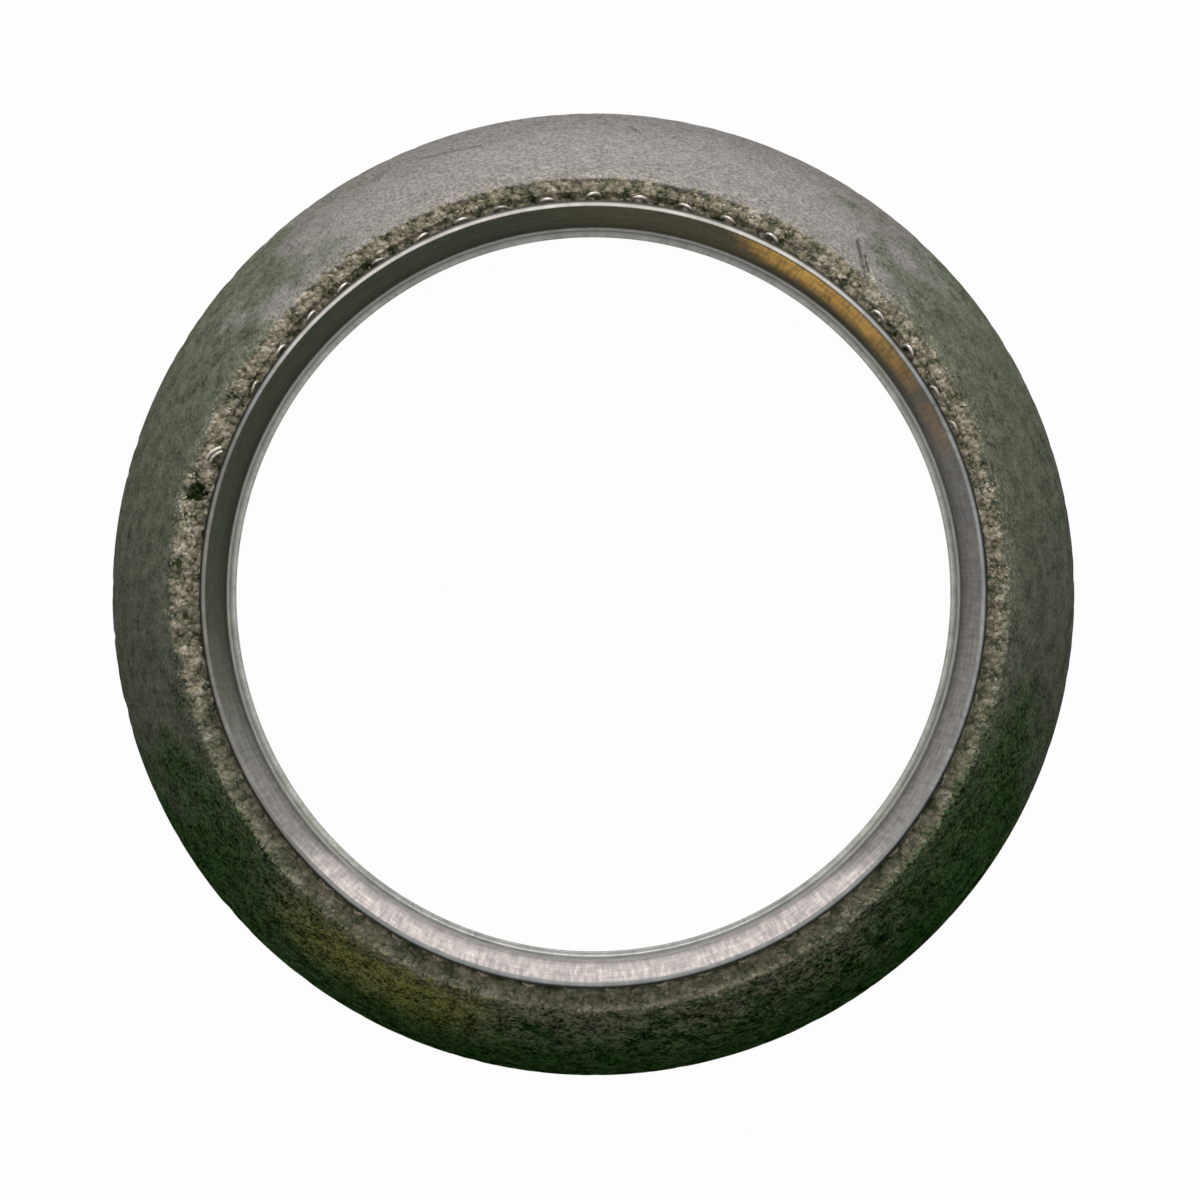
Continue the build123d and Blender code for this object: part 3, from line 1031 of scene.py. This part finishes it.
class GASKET_OT_rim_grains(bpy.types.Operator):
    """Scatters the loose grains of mica and filler along the broken rim"""

    bl_idname = "gasket.rim_grains"
    bl_label = "Rim grains"

    def execute(self, context):
        sizes = context.scene.gasket_sizes
        seed = 11
        draw = random.Random(seed)
        noise.seed_set(seed)
        grains = []
        for _ in range(sizes.grain_count):
            grains.append(scattered_grain(draw, sizes.grain_size))
        for flake in range(46):
            grains.append(torn_skin_grain(draw, flake / 45))
        for flake in range(28):
            grains.append(crease_grain(draw, flake / 27))
        for turn, radius, across, tone in (
            (163.6, 26.9 * MM, 0.55 * MM, 0.85),
            (168.9, 26.5 * MM, 0.7 * MM, 0.8),
            (171.6, 26.3 * MM, 0.8 * MM, 0.82),
            (-29.6, 26.2 * MM, 0.75 * MM, 0.95),
            (-51.6, 26.3 * MM, 0.8 * MM, 0.98),
            (23.9, 26.6 * MM, 0.5 * MM, 0.8),
        ):
            for _ in range(7):
                beside = turn + draw.gauss(0.0, 0.45)
                size = across * draw.uniform(0.35, 0.65)
                away = radius + draw.gauss(0.0, 0.17) * MM
                grains.append((beside, away, size, tone * draw.uniform(0.8, 1.0), 0.0))
        bm = mesh_of_grains()[0]
        for first in range(0, len(grains), GRAIN_BATCH):
            batch, layers = mesh_of_grains()
            for lying in grains[first : first + GRAIN_BATCH]:
                add_grain(batch, layers, draw, *lying)
            mesh = bpy.data.meshes.new("grain_batch")
            batch.to_mesh(mesh)
            batch.free()
            bm.from_mesh(mesh)
            bpy.data.meshes.remove(mesh)
        coat = mica_material(context.scene.gasket_finish)
        new_piece("rim_grains", bm, coat, "pressed_graphite", smooth=False)
        return {"FINISHED"}


def edges_of(items):
    """The edges among what a bmesh operator returns."""
    return [item for item in items if isinstance(item, bmesh.types.BMEdge)]


def bend_wire(bm, wire, bend, start, sweep):
    """Spins a round wire section through an arc; returns the edges round its two ends."""
    section = Matrix.Translation((bend, 0, 0)) @ Matrix.Rotation(math.pi / 2, 4, "X")
    section = Matrix.Rotation(start, 4, "Z") @ section
    circle = bmesh.ops.create_circle(bm, segments=8, radius=wire / 2, matrix=section)["verts"]
    edges = list(dict.fromkeys(edge for vertex in circle for edge in vertex.link_edges))
    spun = bmesh.ops.spin(
        bm, geom=circle + edges, cent=(0, 0, 0), axis=(0, 0, 1), angle=sweep, steps=8
    )["geom_last"]
    return edges, edges_of(spun)


def add_loop(bm, sizes, place):
    """One wire loop: a round head spun from a circle, and two legs drawn down from it."""
    before = set(bm.verts)
    for end in bend_wire(bm, sizes.wire, (sizes.loop_width - sizes.wire) / 2, 0.0, math.pi):
        drawn = bmesh.ops.extrude_edge_only(bm, edges=end)["geom"]
        tip = [item for item in drawn if isinstance(item, bmesh.types.BMVert)]
        bmesh.ops.translate(bm, verts=tip, vec=(0, -sizes.loop_leg - 0.1 * MM, 0))
        bmesh.ops.holes_fill(bm, edges=edges_of(drawn), sides=0)
    made = [vertex for vertex in bm.verts if vertex not in before]
    bmesh.ops.transform(bm, matrix=place, verts=made)


def add_cut_end(bm, sizes, bend, lift):
    """One cut wire end: a round wire that lies along an arc on the rim, beside the others."""
    before = set(bm.verts)
    sweep = math.radians(sizes.cut_sweep)
    for end in bend_wire(bm, sizes.wire, bend, -sweep / 2, sweep):
        bmesh.ops.holes_fill(bm, edges=end, sides=0)
    made = [vertex for vertex in bm.verts if vertex not in before]
    place = Matrix.Translation(polar(CUT_TURN, CUT_RADIUS, RIM_HEIGHT + sizes.wire / 2 + lift))
    turned = Matrix.Rotation(math.radians(CUT_TURN + CUT_SKEW), 4, "Z")
    back = Matrix.Translation((-sizes.cut_bend, 0, 0))
    bmesh.ops.transform(bm, matrix=place @ turned @ back, verts=made)


class GASKET_OT_wire_loops(bpy.types.Operator):
    """Makes the row of wire loops beside the sleeve, and the cut wire ends on the rim"""

    bl_idname = "gasket.wire_loops"
    bl_label = "Wire loops"

    def execute(self, context):
        sizes = context.scene.gasket_sizes
        draw = random.Random(5)
        bm = bmesh.new()
        for loop in range(LOOP_COUNT):
            if loop == CUT_LOOP:
                continue
            turn = LOOP_START + loop * LOOP_PITCH + draw.uniform(-0.5, 0.5)
            upright = window(turn, 95.0, 151.0, 3.0)
            sunk = 1.0 - bare_share(turn % 360.0) + 0.5 * upright
            lean = math.radians(LOOP_LEAN + draw.uniform(-6.0, 5.0) - 9.0 * upright)
            rise = sizes.loop_leg + (draw.uniform(-0.06, 0.02) - 0.5 * sunk) * MM
            outward = polar(turn, 1.0)
            sideways = polar(turn + 90.0, 1.0)
            up = outward * math.sin(lean) + Vector((0, 0, 1)) * math.cos(lean)
            axes = Matrix((sideways, up, sideways.cross(up))).transposed().to_4x4()
            twist = Matrix.Rotation(draw.uniform(-0.2, 0.2), 4, "Y")
            place = Matrix.Translation(polar(turn, LOOP_FOOT, GAP_FLOOR) + up * rise) @ axes @ twist
            add_loop(bm, sizes, place)
        for end in range(2):
            add_cut_end(bm, sizes, sizes.cut_bend - end * CUT_SPACING, end * 0.02 * MM)
        bare_layer = bm.verts.layers.float.new("bare")
        for vertex in bm.verts:
            turn = turn_of(vertex.co)
            vertex[bare_layer] = max(bare_share(turn), window(turn, CUT_TURN - 2.2, CUT_TURN + 2.2, 0.3))
        bmesh.ops.recalc_face_normals(bm, faces=bm.faces)
        coat = wire_material(context.scene.gasket_finish)
        new_piece("knit_loops", bm, coat, "knit_wire", "wire_loops")
        return {"FINISHED"}


# Stage


def add_lamp(name, place, aim, width, height, power):
    """Soft rectangular lamp at a place, turned towards another."""
    lamp = bpy.data.lights.new(name, "AREA")
    lamp.shape = "RECTANGLE"
    lamp.size = width
    lamp.size_y = height
    lamp.energy = power
    holder = bpy.data.objects.new(name, lamp)
    facing = (Vector(aim) - place).to_track_quat("-Z", "Z").to_matrix().to_4x4()
    holder.matrix_world = Matrix.Translation(place) @ facing
    bpy.context.scene.collection.objects.link(holder)


class GASKET_OT_stage(bpy.types.Operator):
    """Sets up the pale floor, the soft lights and the camera overhead"""

    bl_idname = "gasket.stage"
    bl_label = "Stage"

    def execute(self, context):
        scene = context.scene
        stage = scene.gasket_stage
        bm = bmesh.new()
        below = Matrix.Translation((0, 0, -0.02 * MM))
        bmesh.ops.create_circle(bm, cap_ends=True, segments=64, radius=3.0, matrix=below)
        mesh = bpy.data.meshes.new("floor")
        bm.to_mesh(mesh)
        bm.free()
        mesh.materials.append(floor_material(stage))
        floor = bpy.data.objects.new("floor", mesh)
        scene.collection.objects.link(floor)

        world = bpy.data.worlds.new("soft_light")
        world.use_nodes = True
        sky = Nodes(world.node_tree)
        background = next(n for n in sky.tree.nodes if n.type == "BACKGROUND")
        background.inputs["Color"].default_value = (1, 1, 1, 1)
        level = seen_directly(sky) * (1.0 - stage.world_level) + stage.world_level
        sky.feed(background.inputs["Strength"], level)
        scene.world = world

        middle = (0, 0, 8 * MM)
        add_lamp("key", Vector((0, 0.30, 0.155)), middle, 0.42, 0.10, stage.key_power)
        add_lamp("top", Vector((0, 0.05, 0.5)), middle, 0.3, 0.3, stage.top_power)

        lens = bpy.data.cameras.new("camera")
        lens.lens = stage.focal
        lens.sensor_width = 36.0
        lens.shift_x = 0.0055
        lens.shift_y = -0.0047
        lens.clip_start = 10 * MM
        lens.clip_end = 10.0
        camera = bpy.data.objects.new("camera", lens)
        camera.location = (0, 0, stage.camera_height)
        scene.collection.objects.link(camera)
        scene.camera = camera
        scene.view_settings.view_transform = "Standard"
        return {"FINISHED"}


class GASKET_PT_pieces(bpy.types.Panel):
    """Lists the gasket's pieces in the sidebar"""

    bl_idname = "GASKET_PT_pieces"
    bl_label = "Flange gasket"
    bl_space_type = "VIEW_3D"
    bl_region_type = "UI"
    bl_category = "Gasket"

    def draw(self, context):
        for step in STEPS:
            self.layout.operator(step.bl_idname)
        for group in (context.scene.gasket_sizes, context.scene.gasket_finish, context.scene.gasket_stage):
            box = self.layout.box()
            for name in group.__annotations__:
                box.prop(group, name)


STEPS = (
    GASKET_OT_steel_sleeve,
    GASKET_OT_pressed_ring,
    GASKET_OT_rim_grains,
    GASKET_OT_wire_loops,
    GASKET_OT_stage,
)
SETTINGS = {"gasket_sizes": GasketSizes, "gasket_finish": GasketFinish, "gasket_stage": GasketStage}


def register():
    """Registers the settings, the operators and the panel."""
    for name, group in SETTINGS.items():
        bpy.utils.register_class(group)
        setattr(bpy.types.Scene, name, bpy.props.PointerProperty(type=group))
    for step in STEPS:
        bpy.utils.register_class(step)
    bpy.utils.register_class(GASKET_PT_pieces)


def unregister():
    """Takes away what register added."""
    bpy.utils.unregister_class(GASKET_PT_pieces)
    for step in reversed(STEPS):
        bpy.utils.unregister_class(step)
    for name, group in SETTINGS.items():
        delattr(bpy.types.Scene, name)
        bpy.utils.unregister_class(group)


def main():
    """Makes every piece and the stage."""
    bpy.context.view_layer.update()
    register()
    bpy.ops.gasket.steel_sleeve()
    bpy.ops.gasket.pressed_ring()
    bpy.ops.gasket.rim_grains()
    bpy.ops.gasket.wire_loops()
    bpy.ops.gasket.stage()
    bpy.context.view_layer.update()


if __name__ == "__main__":
    main()
